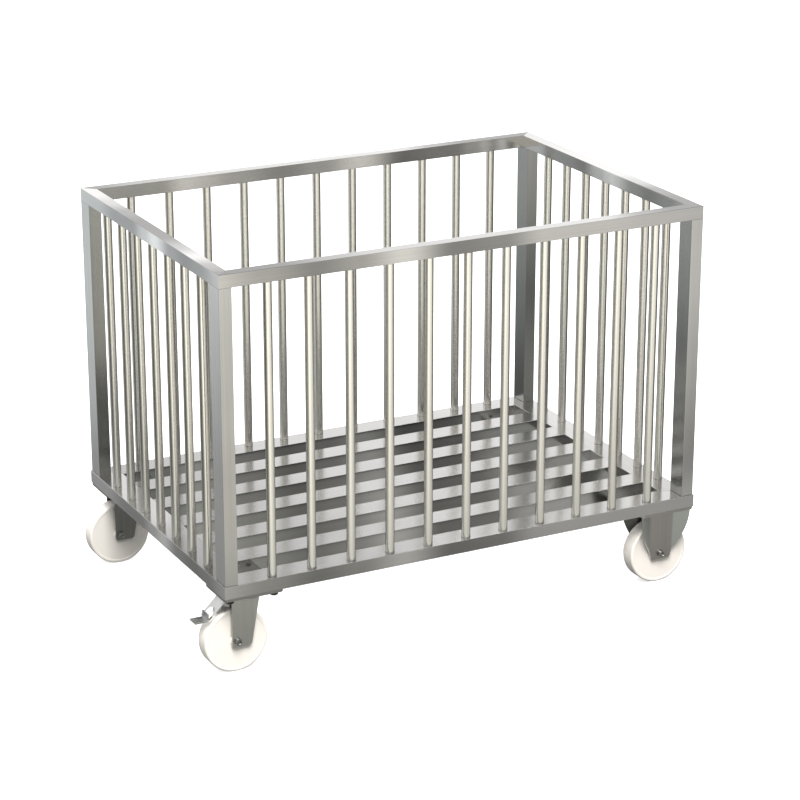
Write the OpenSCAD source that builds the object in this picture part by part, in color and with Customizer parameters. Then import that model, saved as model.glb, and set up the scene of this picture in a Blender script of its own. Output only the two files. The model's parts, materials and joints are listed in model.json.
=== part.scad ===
// Barred trolley pen on four casters: a tube base with floor slats, a fence of
// upright bars between four posts and a top frame, two swivel casters at the left
// end (the front one with a foot brake) and two fixed casters at the right end.
// Origin: on the floor, under the middle of the whole trolley's outline.
// +X to the right end, +Y to the rear, +Z up. Millimetres.

/* [Base] */
// Length of the base frame along X
base_l = 1200; // [1000:10:1400]
// Width of the base frame along Y
base_w = 800; // [700:10:1000]
// Width of the base tubes and floor slats
tube_w = 60; // [50:1:60]
// Height of the base tubes and floor slats
tube_h = 30; // [25:1:40]
// Wall of the rectangular and square tubes
wall = 2; // [1.5:0.5:3]
// Number of floor slats
slat_count = 5; // [5:1:5]

/* [Fence] */
// Height of the fence above the floor slats
fence_h = 700; // [500:10:900]
// Post size along X
post_x = 30; // [25:1:40]
// Post size along Y
post_y = 50; // [40:1:60]
// Side of the square top rail
rail = 30; // [25:1:40]
// Step in from the base's ends to the posts
step_x = 2.5; // [1:0.5:5]
// Step in from the base's sides to the posts
step_y = 2; // [1:0.5:5]
// Diameter of the upright bars
bar_d = 20; // [16:1:25]
// Wall of the upright bars
bar_wall = 1.5; // [1:0.25:2]
// Bars on each long side
bars_long = 11; // [5:2:11]
// Bars on each short side
bars_short = 7; // [3:2:7]
// Spacing of the bars on a long side
pitch_long = 96; // [80:1:96]
// Spacing of the bars on a short side
pitch_short = 90; // [70:1:90]

/* [Casters] */
// Height from the floor to the underside of the base
caster_h = 190; // [190:1:190]
// Wheel diameter
wheel_d = 150; // [150:1:150]
// Wheel width at the tread
wheel_w = 40; // [36:1:40]
// Length of the caster plate along X
plate_l = 140; // [140:1:150]
// Width of the caster plate along Y
plate_w = 110; // [110:1:120]
// Thickness of the caster plate
plate_t = 6; // [6:1:6]
// Bolt spacing along X
bolt_sx = 105; // [105:1:105]
// Bolt spacing of the swivel casters along Y
bolt_sy = 80; // [80:1:80]
// Bolt spacing of the fixed casters along Y, between the bracket's legs
fixed_bolt_sy = 50; // [50:1:50]
// Diameter of the caster bolts
bolt_d = 10; // [8:1:10]
// Swivel axis to axle distance
trail = 30; // [25:1:35]
// Sheet thickness of the forks and brackets
sheet_t = 4; // [3:0.5:4]
// Axle bolt diameter
axle_d = 12; // [10:1:12]
// Diameter of a ball in the swivel race
ball_d = 6.8; // [6:0.2:6.8]
// Balls in a swivel race
ball_count = 18; // [8:1:18]

/* [Brake] */
// Width of the brake pedal's strip
pedal_w = 44; // [40:1:44]
// Width of the foot pad
pad_w = 31; // [31:0.5:33]
// Swivel axis to the tip of the foot pad
pedal_reach = 125; // [120:1:130]
// Thickness of the pedal's sheet
pedal_t = 3; // [2.5:0.5:3]

/* [Hidden] */
$fn = 48;
cut = 1;                             // how far a cut runs past a face
ball_fn = 24;
deck_z = caster_h + tube_h;          // top of the floor slats
top_z = deck_z + fence_h;            // top of the fence
rail_z = top_z - rail;               // underside of the top rails
slot_w = (base_w - tube_w*(slat_count + 2))/(slat_count + 1);
slat_l = base_l - 2*tube_w;
hang_x = base_l/2 - plate_l/2;       // caster centres from the base's centre
hang_y = base_w/2 - plate_w/2;
overhang = pedal_reach - plate_l/2;  // how far the pedal passes the base's left end
shift = overhang/2;                  // base centre from the middle of the outline
plate_z = caster_h - plate_t;        // underside of a caster plate
axle_z = wheel_d/2;

bar_inset = 17.5;                    // bar centres from the base's outer faces
gusset_t = 3;
gusset_l = 80;
plate_r = 8;                         // corner radius of a caster plate
washer_t = 2;
washer_r = 10;
head_h = 6.4;
head_af = 16;                        // across the flats of a caster bolt's head
bolt_up = 11;                        // how far a caster bolt passes the plate's underside
hole_gap = 0.5;                      // radial gap of a bolt in the caster plate

leg_out = 28;                        // outer face of a fork leg from the wheel's middle
leg_in = leg_out - sheet_t;
leg_low = 61;                        // lower end of the legs above the floor
leg_back = -43;                      // edges of a fork leg, from the swivel axis
leg_front = 24;
leg_toe = 3.5;
toe_r = 7;
heel_r = 4;
web_half = 30;                       // flat middle of a fixed bracket's leg
wing_x = 66;                         // edge of a wing's sheet, from the caster's middle
wing_y = 50;
wing_r = 180;                        // radius of a wing's curved edge
wing_c = [-115, caster_h];
bracket_toe = [[0, leg_low], [21, leg_low], [26, leg_low + 4]];
crown_z = 176;                       // top of the fork's crown
crown_t = 5;
crown_r = 38;
boss_r = 22.2;
boss_h = 6;
cup_r = 36;
cup_in = 30;
cup_z = 178;
king_r = 6;
king_head_r = 10;
king_head_h = 4.7;
king_gap = 0.3;                      // between the rivet's head and the crown
king_seat = 2;                       // plate left under the rivet's upper head
running = 0.05;                      // radial clearance of a turning fit
race_r = (boss_r + cup_in)/2;
sleeve_r = 8;
bush_r = 11;
hub_r = 14;
hub_y = 22;
head_r = 8;
axle_head = 7.5;
nut_h = 10;
nut_af = 18;
leg_hole = axle_d/2 + 0.2;
socket_af = 8;                       // hexagon socket in the axle bolt's head
socket_h = 4;
rim_in = 8;                          // rim band on the wheel's face
rim_step = 0.8;
tread_r = 4;

pin_x = -34;                         // brake pivot, from the swivel axis and the floor
pin_z = 157;
pin_r = 4;
pin_half = 27;                       // half length of the pin; it is blind at both ends
ear_y = 20;
strip_top = [-56, 172];
strip_end = [-96, 132];
pad_z = 131.5;                       // top of the foot pad
riser_x = -92;
riser_top = 146.5;
arch_r = 15;                         // half width of the pedal's opening
arch_l = 16;                         // straight part of the opening
ear = concat([[-63, 165], strip_top, [-47, 166], [pin_x, pin_z + 6]],
  [for (a = [67.5 : -22.5 : -90]) [pin_x + 6*cos(a), pin_z + 6*sin(a)]], [[-42, 154], [-56, 161]]);
shoe = [[-60, 147.6], [-60, 166.5], [-66, 160.5], [-71, 150], [-71, 143.3]];
shoe_w = 20;
spring_line = [[-11, 170.5], [pin_x, 170.5], [-52, 163], [-57, 165]];
spring_t = 1;
spring_w = 14;

// ---------- Outlines ----------

function reversed(p) = [for (i = [len(p) - 1 : -1 : 0]) p[i]];
function mirrored(p) = [for (q = reversed(p)) [-q[0], q[1]]];

// Points on an arc of radius r round c, from angle a to angle b
function arc(c, r, a, b, n = 8) =
  [for (i = [0 : n]) c + r*[cos(a + (b - a)*i/n), sin(a + (b - a)*i/n)]];

function normal(a, b) = let (u = (b - a)/norm(b - a)) [-u[1], u[0]];

// A line of points moved sideways by d, with mitred corners
function beside(p, d) = [for (i = [0 : len(p) - 1])
  let (last = len(p) - 1,
       n0 = normal(p[max(i - 1, 0)], p[max(i, 1)]),
       n1 = normal(p[min(i, last - 1)], p[min(i + 1, last)]),
       m = (n0 + n1)/norm(n0 + n1))
  p[i] + m*d/(m*n1)];

// Outline of a bent sheet of thickness t whose middle follows p
function bent(p, t) = concat(beside(p, t/2), reversed(beside(p, -t/2)));

module round_rectangle(l, w, r) {
  square([l - 2*r, w], center = true);
  square([l, w - 2*r], center = true);
  for (x = [-1, 1], y = [-1, 1])
    translate([x*(l/2 - r), y*(w/2 - r)]) circle(r);
}

// ---------- Shared shapes ----------

// Everything is placed from the base's centre on the floor
module placed() translate([shift, 0, 0]) children();

// A caster's own frame: its swivel axis or plate centre, at the floor
module at_corner(x, y) placed() translate([x*hang_x, y*hang_y, 0]) children();

// An axle's own frame: swivel axles trail to the left of their swivel axis
module at_axle(x, y) at_corner(x, y)
  translate([x < 0 ? -trail : 0, 0, axle_z]) children();

module bolt_circle(sy) for (x = [-1, 1], y = [-1, 1])
  translate([x*bolt_sx/2, y*sy/2, 0]) children();

module every_bolt() for (x = [-1, 1], y = [-1, 1])
  at_corner(x, y) bolt_circle(x < 0 ? bolt_sy : fixed_bolt_sy) children();

// An outline in X and Z pushed along Y, from y0 to y1
module across(y0, y1) translate([0, y1, 0]) rotate([90, 0, 0])
  linear_extrude(y1 - y0) children();

// A cylinder along Y
module rod_y(r, y0, y1, fn = $fn) translate([0, y0, 0]) rotate([-90, 0, 0])
  cylinder(r = r, h = y1 - y0, $fn = fn);

// Plan of a tube with mitred ends, outer edge along y = 0
module mitre_plan(l, w, inset, past) polygon([
  [inset - past, inset], [l - inset + past, inset],
  [l - w + inset + past, w - inset], [w - inset - past, w - inset]]);

module mitred_tube(l, w, h) difference() {
  linear_extrude(h) mitre_plan(l, w, 0, 0);
  translate([0, 0, wall]) linear_extrude(h - 2*wall) mitre_plan(l, w, wall, cut);
}

// The holes of all sixteen caster bolts in the underside of the base
module base_holes() every_bolt()
  translate([0, 0, caster_h - cut]) cylinder(d = bolt_d, h = wall + 2*cut);

// ---------- Base ----------

module base_side(turn, l, w) color("silver") difference() {
  placed() rotate([0, 0, turn]) translate([-l/2, -w/2, caster_h])
    mitred_tube(l, tube_w, tube_h);
  base_holes();
}
module base_tube_front() base_side(0, base_l, base_w);
module base_tube_rear() base_side(180, base_l, base_w);
module base_tube_left() base_side(-90, base_w, base_l);
module base_tube_right() base_side(90, base_w, base_l);

// Slats are counted from the front
module floor_slat(i) color("gainsboro") placed()
  translate([-slat_l/2, -base_w/2 + tube_w + slot_w + (i - 1)*(tube_w + slot_w), caster_h])
  difference() {
    cube([slat_l, tube_w, tube_h]);
    translate([-cut, wall, wall]) cube([slat_l + 2*cut, tube_w - 2*wall, tube_h - 2*wall]);
  }

// Plates welded between tube and slat, for the inner caster bolt
module corner_gussets() color("silver") difference() {
  placed() for (x = [-1, 1], y = [-1, 1])
    translate([x*(base_l/2 - tube_w - gusset_l/2), y*(base_w/2 - tube_w - slot_w/2),
      caster_h + gusset_t/2])
    cube([gusset_l, slot_w, gusset_t], center = true);
  every_bolt() translate([0, 0, caster_h - cut]) cylinder(d = bolt_d, h = gusset_t + 2*cut);
}

// ---------- Fence ----------

module post(x, y) color("darkgray") placed()
  translate([x*(base_l/2 - step_x - post_x/2), y*(base_w/2 - step_y - post_y/2), deck_z])
  linear_extrude(fence_h - rail) difference() {
    square([post_x, post_y], center = true);
    square([post_x - 2*wall, post_y - 2*wall], center = true);
  }

module top_side(turn, l, w) color("whitesmoke") placed()
  rotate([0, 0, turn]) translate([-l/2, -w/2, rail_z]) mitred_tube(l, rail, rail);
module top_rail_front() top_side(0, base_l - 2*step_x, base_w - 2*step_y);
module top_rail_rear() top_side(180, base_l - 2*step_x, base_w - 2*step_y);
module top_rail_left() top_side(-90, base_w - 2*step_y, base_l - 2*step_x);
module top_rail_right() top_side(90, base_w - 2*step_y, base_l - 2*step_x);

// A row of upright bars, spread evenly about the middle of the side
module bars(turn, count, pitch, out) color("lightgray") placed() rotate([0, 0, turn])
  for (i = [0 : count - 1])
    translate([(i - (count - 1)/2)*pitch, -out/2 + bar_inset, deck_z])
    difference() {
      cylinder(d = bar_d, h = fence_h - rail);
      translate([0, 0, -cut])
        cylinder(d = bar_d - 2*bar_wall, h = fence_h - rail + 2*cut);
    }
module bars_front() bars(0, bars_long, pitch_long, base_w);
module bars_rear() bars(180, bars_long, pitch_long, base_w);
module bars_left() bars(-90, bars_short, pitch_short, base_l);
module bars_right() bars(90, bars_short, pitch_short, base_l);

// ---------- Caster fasteners ----------

module caster_bolts() color("dimgray") every_bolt() {
  translate([0, 0, plate_z - washer_t - head_h])
    cylinder(d = head_af/cos(30), h = head_h, $fn = 6);
  translate([0, 0, plate_z - washer_t]) cylinder(d = bolt_d, h = washer_t + bolt_up);
}

module caster_washers() color("gray") every_bolt()
  translate([0, 0, plate_z - washer_t]) difference() {
    cylinder(r = washer_r, h = washer_t);
    translate([0, 0, -cut]) cylinder(d = bolt_d + 2*hole_gap, h = washer_t + 2*cut);
  }

// ---------- Casters ----------

module caster_plate(sy) translate([0, 0, plate_z]) linear_extrude(plate_t) difference() {
  round_rectangle(plate_l, plate_w, plate_r);
  bolt_circle(sy) circle(d = bolt_d + 2*hole_gap);
}

// Top plate with the upper race, a cup that opens downwards
module swivel_plate() color("silver") difference() {
  union() {
    caster_plate(bolt_sy);
    translate([0, 0, cup_z]) difference() {
      cylinder(r = cup_r, h = plate_z - cup_z);
      translate([0, 0, -cut]) cylinder(r = cup_in, h = plate_z - cup_z + cut);
    }
  }
  translate([0, 0, cup_z]) cylinder(r = king_r, h = caster_h);
  translate([0, 0, plate_z + king_seat]) cylinder(r = king_head_r, h = plate_t);
}

// Rivet through the plate and the crown; the fork turns round it
module king_pin() color("gray") {
  under = crown_z - crown_t - king_gap - king_head_h;
  translate([0, 0, under]) cylinder(r = king_head_r, h = king_head_h);
  translate([0, 0, under]) cylinder(r = king_r, h = plate_z + plate_t - under);
  translate([0, 0, plate_z + king_seat]) cylinder(r = king_head_r, h = plate_t - king_seat);
}

module ball_ring() color("white") for (i = [0 : ball_count - 1])
  rotate([0, 0, i*360/ball_count]) translate([race_r, 0, crown_z + 0.3 + ball_d/2])
    sphere(d = ball_d, $fn = ball_fn);

// Side view of a fork leg, straight in front and raked behind
module leg_outline() polygon(concat(
  [[leg_back, crown_z]], arc([leg_back + heel_r, leg_low + heel_r], heel_r, 180, 270, 4),
  arc([leg_toe - toe_r, leg_low + toe_r], toe_r, 270, 349, 5), [[leg_front, crown_z]]));

module fork() color("gray") difference() {
  union() {
    translate([0, 0, crown_z - crown_t]) linear_extrude(crown_t) {
      circle(r = crown_r);
      translate([leg_back + toe_r, -leg_out]) square([leg_front - leg_back - toe_r, 2*leg_out]);
    }
    translate([0, 0, crown_z]) cylinder(r = boss_r, h = boss_h);
    for (s = [0, 1]) mirror([0, s, 0]) across(-leg_out, -leg_in) leg_outline();
  }
  translate([0, 0, crown_z - crown_t - cut])
    cylinder(r = king_r + running, h = crown_t + boss_h + 2*cut);
  translate([-trail, 0, axle_z]) rod_y(leg_hole, -leg_out - cut, leg_out + cut);
  translate([pin_x, 0, pin_z]) rod_y(pin_r, -pin_half, pin_half);
}

// Plan of a fixed bracket's leg: a flat web with two wings that flare outwards
module leg_plan() let (y = -leg_out + sheet_t/2) polygon(
  bent([[-wing_x, -wing_y], [-web_half, y], [web_half, y], [wing_x, -wing_y]], sheet_t));

// Side view of a fixed bracket's leg, with curved edges that run down to the axle
module wing_outline() {
  side = concat(bracket_toe, arc(wing_c, wing_r, -36, -2, 10), [[0, plate_z + cut]]);
  polygon(concat(side, mirrored(side)));
}

module fixed_bracket() color("gray") difference() {
  union() {
    caster_plate(fixed_bolt_sy);
    for (s = [0, 1]) mirror([0, s, 0]) intersection() {
      translate([0, 0, leg_low - cut]) linear_extrude(plate_z - leg_low + 2*cut) leg_plan();
      across(-plate_w/2, 0) wing_outline();
    }
  }
  translate([0, 0, axle_z]) rod_y(leg_hole, -leg_out - cut, leg_out + cut);
}

// The parts on an axle, from the axle's middle
module axle_bolt() color("gray") difference() {
  union() {
    rod_y(head_r, -leg_out - axle_head, -leg_out);
    rod_y(axle_d/2, -leg_out, leg_out + nut_h + 2);
  }
  rod_y(socket_af/2/cos(30), -leg_out - axle_head - cut, -leg_out - axle_head + socket_h, 6);
}

module axle_nut() color("gray") difference() {
  rod_y(nut_af/2/cos(30), leg_out, leg_out + nut_h, 6);
  rod_y(axle_d/2, leg_out - cut, leg_out + nut_h + cut);
}

module axle_sleeve() color("lightgray") difference() {
  rod_y(sleeve_r, -leg_in, leg_in);
  rod_y(axle_d/2 + 0.1, -leg_in - cut, leg_in + cut);
}

module wheel_bush() color("dimgray") difference() {
  rod_y(bush_r, -hub_y, hub_y);
  rod_y(sleeve_r + running, -hub_y - cut, hub_y + cut);
}

// Half of the wheel's section, from the hub round to the tread
function wheel_half() = let (r = wheel_d/2, y = wheel_w/2) concat(
  [[bush_r, hub_y], [hub_r - 1, hub_y], [hub_r, hub_y - 1], [hub_r, y - rim_step],
   [r - rim_in, y - rim_step], [r - rim_in + 1, y]],
  arc([r - tread_r, y - tread_r], tread_r, 90, 0, 6));

module wheel() color("ivory") rotate([90, 0, 0]) rotate_extrude($fn = 96)
  polygon(concat(wheel_half(), [for (p = reversed(wheel_half())) [p[0], -p[1]]]));

// ---------- Brake ----------

// Side view of an ear: it hangs under the strip and reaches to the pivot
module ear_outline() difference() {
  polygon(ear);
  translate([pin_x, pin_z]) circle(pin_r + running);
}

module brake_pedal() color("whitesmoke") {
  difference() {
    across(-pedal_w/2, pedal_w/2) polygon(bent([strip_top, strip_end], pedal_t));
    translate([strip_end[0], 0, strip_end[1]]) rotate([0, -45, 0]) {
      translate([-arch_l, -arch_r, -pedal_t]) cube([2*arch_l, 2*arch_r, 2*pedal_t]);
      translate([arch_l, 0, -pedal_t]) cylinder(r = arch_r, h = 2*pedal_t);
    }
  }
  for (s = [0, 1]) mirror([0, s, 0]) across(-ear_y, -ear_y + pedal_t) ear_outline();
  // Brake shoe under the middle of the strip
  across(-shoe_w/2, shoe_w/2) polygon(shoe);
  // Foot pad and its riser, welded between the strip's two arms
  across(-pad_w/2, pad_w/2)
    polygon([[-pedal_reach, pad_z - pedal_t], [riser_x, pad_z - pedal_t],
      [riser_x, riser_top], [riser_x - pedal_t, riser_top],
      [riser_x - pedal_t, pad_z], [-pedal_reach, pad_z]]);
}

module brake_pin() color("gray") translate([pin_x, 0, pin_z])
  rod_y(pin_r, -pin_half, pin_half);

// Leaf spring under the crown, bearing down on the pedal behind its pivot
module brake_spring() color("silver") across(-spring_w/2, spring_w/2)
  polygon(bent(spring_line, spring_t));

// ---------- Drawing ----------

base_tube_front();
base_tube_rear();
base_tube_left();
base_tube_right();
floor_slat(1);  // floor_slat_1
floor_slat(2);  // floor_slat_2
floor_slat(3);  // floor_slat_3
floor_slat(4);  // floor_slat_4
floor_slat(5);  // floor_slat_5
corner_gussets();
post(-1, -1);  // post_front_left
post(1, -1);  // post_front_right
post(-1, 1);  // post_rear_left
post(1, 1);  // post_rear_right
top_rail_front();
top_rail_rear();
top_rail_left();
top_rail_right();
bars_front();
bars_rear();
bars_left();
bars_right();
caster_bolts();
caster_washers();
at_corner(-1, -1) swivel_plate();  // swivel_plate_front
at_corner(-1, -1) king_pin();  // king_pin_front
at_corner(-1, -1) ball_ring();  // ball_ring_front
at_corner(-1, -1) fork();  // fork_front
at_axle(-1, -1) axle_bolt();  // axle_bolt_front_left
at_axle(-1, -1) axle_nut();  // axle_nut_front_left
at_axle(-1, -1) axle_sleeve();  // axle_sleeve_front_left
at_axle(-1, -1) wheel();  // wheel_front_left
at_axle(-1, -1) wheel_bush();  // wheel_bush_front_left
at_corner(-1, 1) swivel_plate();  // swivel_plate_rear
at_corner(-1, 1) king_pin();  // king_pin_rear
at_corner(-1, 1) ball_ring();  // ball_ring_rear
at_corner(-1, 1) fork();  // fork_rear
at_axle(-1, 1) axle_bolt();  // axle_bolt_rear_left
at_axle(-1, 1) axle_nut();  // axle_nut_rear_left
at_axle(-1, 1) axle_sleeve();  // axle_sleeve_rear_left
at_axle(-1, 1) wheel();  // wheel_rear_left
at_axle(-1, 1) wheel_bush();  // wheel_bush_rear_left
at_corner(1, -1) fixed_bracket();  // fixed_bracket_front
at_axle(1, -1) axle_bolt();  // axle_bolt_front_right
at_axle(1, -1) axle_nut();  // axle_nut_front_right
at_axle(1, -1) axle_sleeve();  // axle_sleeve_front_right
at_axle(1, -1) wheel();  // wheel_front_right
at_axle(1, -1) wheel_bush();  // wheel_bush_front_right
at_corner(1, 1) fixed_bracket();  // fixed_bracket_rear
at_axle(1, 1) axle_bolt();  // axle_bolt_rear_right
at_axle(1, 1) axle_nut();  // axle_nut_rear_right
at_axle(1, 1) axle_sleeve();  // axle_sleeve_rear_right
at_axle(1, 1) wheel();  // wheel_rear_right
at_axle(1, 1) wheel_bush();  // wheel_bush_rear_right
at_corner(-1, -1) brake_pedal();
at_corner(-1, -1) brake_pin();
at_corner(-1, -1) brake_spring();
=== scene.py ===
# %% [markdown]
# # A stainless pen on four casters
# The pen is a welded frame: a floor of flat tubes, four posts, a square top frame and
# thirty-six upright bars. It rolls on two swivel casters at the left end and two fixed
# casters at the right end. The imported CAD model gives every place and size, and this
# script builds the finished surfaces round it: rounded edges, weld beads, bent sheet
# and brushed steel. Everything is in metres, with +X to the right end, +Y to the rear
# and +Z up.

# %% Load the frame
import json
import math

import bmesh
import bpy
from mathutils import Matrix, Vector


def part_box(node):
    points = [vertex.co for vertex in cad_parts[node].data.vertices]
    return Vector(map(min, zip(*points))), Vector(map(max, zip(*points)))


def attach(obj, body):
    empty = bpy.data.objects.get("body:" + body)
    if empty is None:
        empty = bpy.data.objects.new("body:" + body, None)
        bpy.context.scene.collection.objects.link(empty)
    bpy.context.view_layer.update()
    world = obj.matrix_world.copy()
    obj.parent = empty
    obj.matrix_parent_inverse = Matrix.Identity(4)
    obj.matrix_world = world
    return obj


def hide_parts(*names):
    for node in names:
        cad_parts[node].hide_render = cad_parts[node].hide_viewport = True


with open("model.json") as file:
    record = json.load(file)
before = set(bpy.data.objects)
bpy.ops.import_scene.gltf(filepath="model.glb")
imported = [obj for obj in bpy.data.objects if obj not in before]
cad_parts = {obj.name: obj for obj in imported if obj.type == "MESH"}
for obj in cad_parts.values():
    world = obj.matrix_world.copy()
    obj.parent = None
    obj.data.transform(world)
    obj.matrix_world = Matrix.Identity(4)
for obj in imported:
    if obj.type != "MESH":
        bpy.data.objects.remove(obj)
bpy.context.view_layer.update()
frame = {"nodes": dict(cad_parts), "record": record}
MM = 0.001
BODY = {node: body for body, nodes in frame["record"]["behaviour"]["bodies"].items() for node in nodes}

# %% [markdown]
# ## Camera
# A long lens from far away keeps the bars nearly parallel, as in a catalogue view. The
# camera could be placed by hand, but a turn, a rise and a distance round one aim point
# are easier to read and to change. Turn 0 looks along +Y, from the front.

# %% Camera
CAMERA_TURN = math.radians(-27.26)
CAMERA_RISE = math.radians(19.41)
CAMERA_AWAY = 6.2487
CAMERA_LENS = 119.48
AIM = Vector((0.0557, -0.004, 0.4236))


def outwards(turn, rise):
    """The direction from the pen at a turn from the front and a rise from the floor."""
    return Vector((math.sin(turn) * math.cos(rise), -math.cos(turn) * math.cos(rise), math.sin(rise)))


camera_data = bpy.data.cameras.new("camera")
camera_data.lens = CAMERA_LENS
camera = bpy.data.objects.new("camera", camera_data)
bpy.context.scene.collection.objects.link(camera)
back = outwards(CAMERA_TURN, CAMERA_RISE)
camera.location = AIM + back * CAMERA_AWAY
camera.rotation_euler = back.to_track_quat("Z", "Y").to_euler()
bpy.context.scene.camera = camera
bpy.context.scene.view_settings.view_transform = "Standard"
print("camera at", [round(c, 3) for c in camera.location])

# %% [markdown]
# ## Node helpers
# A shader is a tree of nodes, and building one by hand takes a line for each node and
# each link. A few helpers keep that short. Each makes one node, feeds it and hands back
# its result, so that a material reads like a sum.


# %% Node helpers
def feed(tree, value, socket):
    """Links another node's result to a socket, or sets the socket to a number or colour."""
    if isinstance(value, bpy.types.NodeSocket):
        tree.links.new(value, socket)
    else:
        socket.default_value = (*value, 1) if isinstance(value, tuple) else value


def add_node(tree, kind, values=None, **settings):
    """A node of that kind. values fills its sockets, and settings its own fields."""
    made = tree.nodes.new(kind)
    for field, value in settings.items():
        setattr(made, field, value)
    for socket, value in (values or {}).items():
        made.inputs[socket].default_value = value
    return made


def mix_colours(tree, factor, first, second, blend="MIX"):
    """A colour mix. Each of the three is a socket or a plain value."""
    made = add_node(tree, "ShaderNodeMix", data_type="RGBA", blend_type=blend)
    feed(tree, factor, made.inputs["Factor"])
    for name, value in (("A", first), ("B", second)):
        feed(tree, value, next(s for s in made.inputs if s.name == name and s.type == "RGBA"))
    return next(s for s in made.outputs if s.type == "RGBA")


def between(tree, value, low, high, to_low=0.0, to_high=1.0, smooth=True):
    """Maps a value from low..high to to_low..to_high."""
    made = add_node(
        tree, "ShaderNodeMapRange",
        {"From Min": low, "From Max": high, "To Min": to_low, "To Max": to_high},
        interpolation_type="SMOOTHSTEP" if smooth else "LINEAR",
    )
    tree.links.new(value, made.inputs["Value"])
    return made.outputs["Result"]


def calculate(tree, operation, first, second=0.0):
    """A maths node on sockets or numbers."""
    made = add_node(tree, "ShaderNodeMath", operation=operation)
    feed(tree, first, made.inputs[0])
    feed(tree, second, made.inputs[1])
    return made.outputs[0]


# %% More node helpers
def axes_of(tree, vector):
    """The X, Y and Z of a vector, each as a socket."""
    made = add_node(tree, "ShaderNodeSeparateXYZ")
    tree.links.new(vector, made.inputs[0])
    return made.outputs


def object_place(tree):
    """Where a point is on the object, in metres."""
    return add_node(tree, "ShaderNodeTexCoord").outputs["Object"]


def surface_normal(tree):
    return add_node(tree, "ShaderNodeNewGeometry").outputs["Normal"]


def noise(tree, vector, scale, detail):
    made = add_node(tree, "ShaderNodeTexNoise", {"Scale": scale, "Detail": detail})
    tree.links.new(vector, made.inputs["Vector"])
    return made.outputs["Fac"]


def ramp(tree, value, low, high, stops):
    """A colour that follows (position, colour) stops between low and high."""
    made = add_node(tree, "ShaderNodeValToRGB")
    made.color_ramp.interpolation = "EASE"
    points = made.color_ramp.elements
    while len(points) < len(stops):
        points.new(0.5)
    for point, (at, colour) in zip(points, stops):
        point.position = (at - low) / (high - low)
        point.color = (*colour, 1)
    tree.links.new(between(tree, value, low, high, smooth=False), made.inputs["Fac"])
    return made.outputs["Color"]


def emboss(tree, shader, height, strength, distance):
    """Bends a shader's normals by a height, without changing the mesh."""
    made = add_node(tree, "ShaderNodeBump", {"Strength": strength, "Distance": distance})
    tree.links.new(height, made.inputs["Height"])
    tree.links.new(made.outputs["Normal"], shader.inputs["Normal"])


# %% [markdown]
# ## Studio room
# Polished metal shows what is round it, so the studio matters as much as the steel. The
# room could be a picture of a real studio, but a few colours mixed by direction give
# the same soft light with nothing to load: a bright wall behind the pen for the tops of
# the rails, a pale ceiling, and a darker wall in front. Only the lens sees plain white.

# %% Room light
ROOM_BACK = (1.6, 1.59, 1.58)
ROOM_FRONT = (0.55, 0.54, 0.53)
ROOM_CEILING = (1.1, 1.12, 1.15)
WALLS_MEET = (-0.2, 0.6)
CEILING_STARTS = (0.45, 0.8)

world = bpy.data.worlds.new("studio")
bpy.context.scene.world = world
world.use_nodes = True
sky = world.node_tree
sky.nodes.clear()
direction = axes_of(sky, add_node(sky, "ShaderNodeTexCoord").outputs["Generated"])
walls = mix_colours(sky, between(sky, direction["Y"], *WALLS_MEET), ROOM_FRONT, ROOM_BACK)
room = mix_colours(sky, between(sky, direction["Z"], *CEILING_STARTS), walls, ROOM_CEILING)
seen = add_node(sky, "ShaderNodeLightPath").outputs["Is Camera Ray"]
background = add_node(sky, "ShaderNodeBackground", {"Strength": 1.0})
sky.links.new(mix_colours(sky, seen, room, (1, 1, 1)), background.inputs["Color"])
output = add_node(sky, "ShaderNodeOutputWorld")
sky.links.new(background.outputs[0], output.inputs["Surface"])
print("room light ready")

# %% [markdown]
# ## Studio floor
# The floor is a plain pale sweep. To the lens it is almost white, with only a faint
# shadow. An upright face of the pen mirrors nothing but this floor, so what the steel
# sees of it is a set of soft light and dark patches, as cards and flags make in a real
# studio. Each patch has a bearing round the pen, and there are two rings of them: one
# close by for the base and one further out for the posts, the bars and the rails.
# Bearing 0 is straight in front, and -90 is to the left.

# %% Floor tones
FLOOR_HALF = 30.0
NEAR_TONES = [
    (-180, (0.22, 0.22, 0.22)), (-150, (0.50, 0.51, 0.51)), (-120, (0.64, 0.65, 0.64)),
    (-85, (0.62, 0.63, 0.60)), (-45, (0.86, 0.87, 0.81)), (-8, (0.86, 0.86, 0.80)),
    (12, (0.80, 0.79, 0.75)), (45, (0.76, 0.75, 0.72)), (85, (0.42, 0.43, 0.41)),
    (120, (0.22, 0.22, 0.22)), (180, (0.22, 0.22, 0.22)),
]
FAR_TONES = [
    (-180, (0.30, 0.31, 0.31)), (-165, (0.40, 0.415, 0.42)), (-150, (0.68, 0.71, 0.72)),
    (-127, (0.62, 0.64, 0.64)), (-111, (0.09, 0.09, 0.09)), (-80, (0.09, 0.09, 0.085)),
    (-57, (0.33, 0.33, 0.30)), (-42, (1.20, 1.17, 1.06)), (-30, (1.12, 1.09, 0.98)),
    (-12, (1.0, 0.97, 0.88)), (14, (0.80, 0.78, 0.72)), (35, (0.80, 0.78, 0.74)),
    (52, (0.14, 0.138, 0.13)), (110, (0.07, 0.07, 0.068)), (150, (0.08, 0.08, 0.08)),
    (180, (0.30, 0.31, 0.31)),
]
print("floor tones:", len(NEAR_TONES), "near and", len(FAR_TONES), "far")

# %% Floor sheet
floor_mesh = bmesh.new()
bmesh.ops.create_grid(floor_mesh, x_segments=1, y_segments=1, size=FLOOR_HALF)
floor_data = bpy.data.meshes.new("floor")
floor_mesh.to_mesh(floor_data)
floor_mesh.free()
floor = bpy.data.objects.new("floor", floor_data)
bpy.context.scene.collection.objects.link(floor)
print("floor:", 2 * FLOOR_HALF, "m square")

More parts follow.
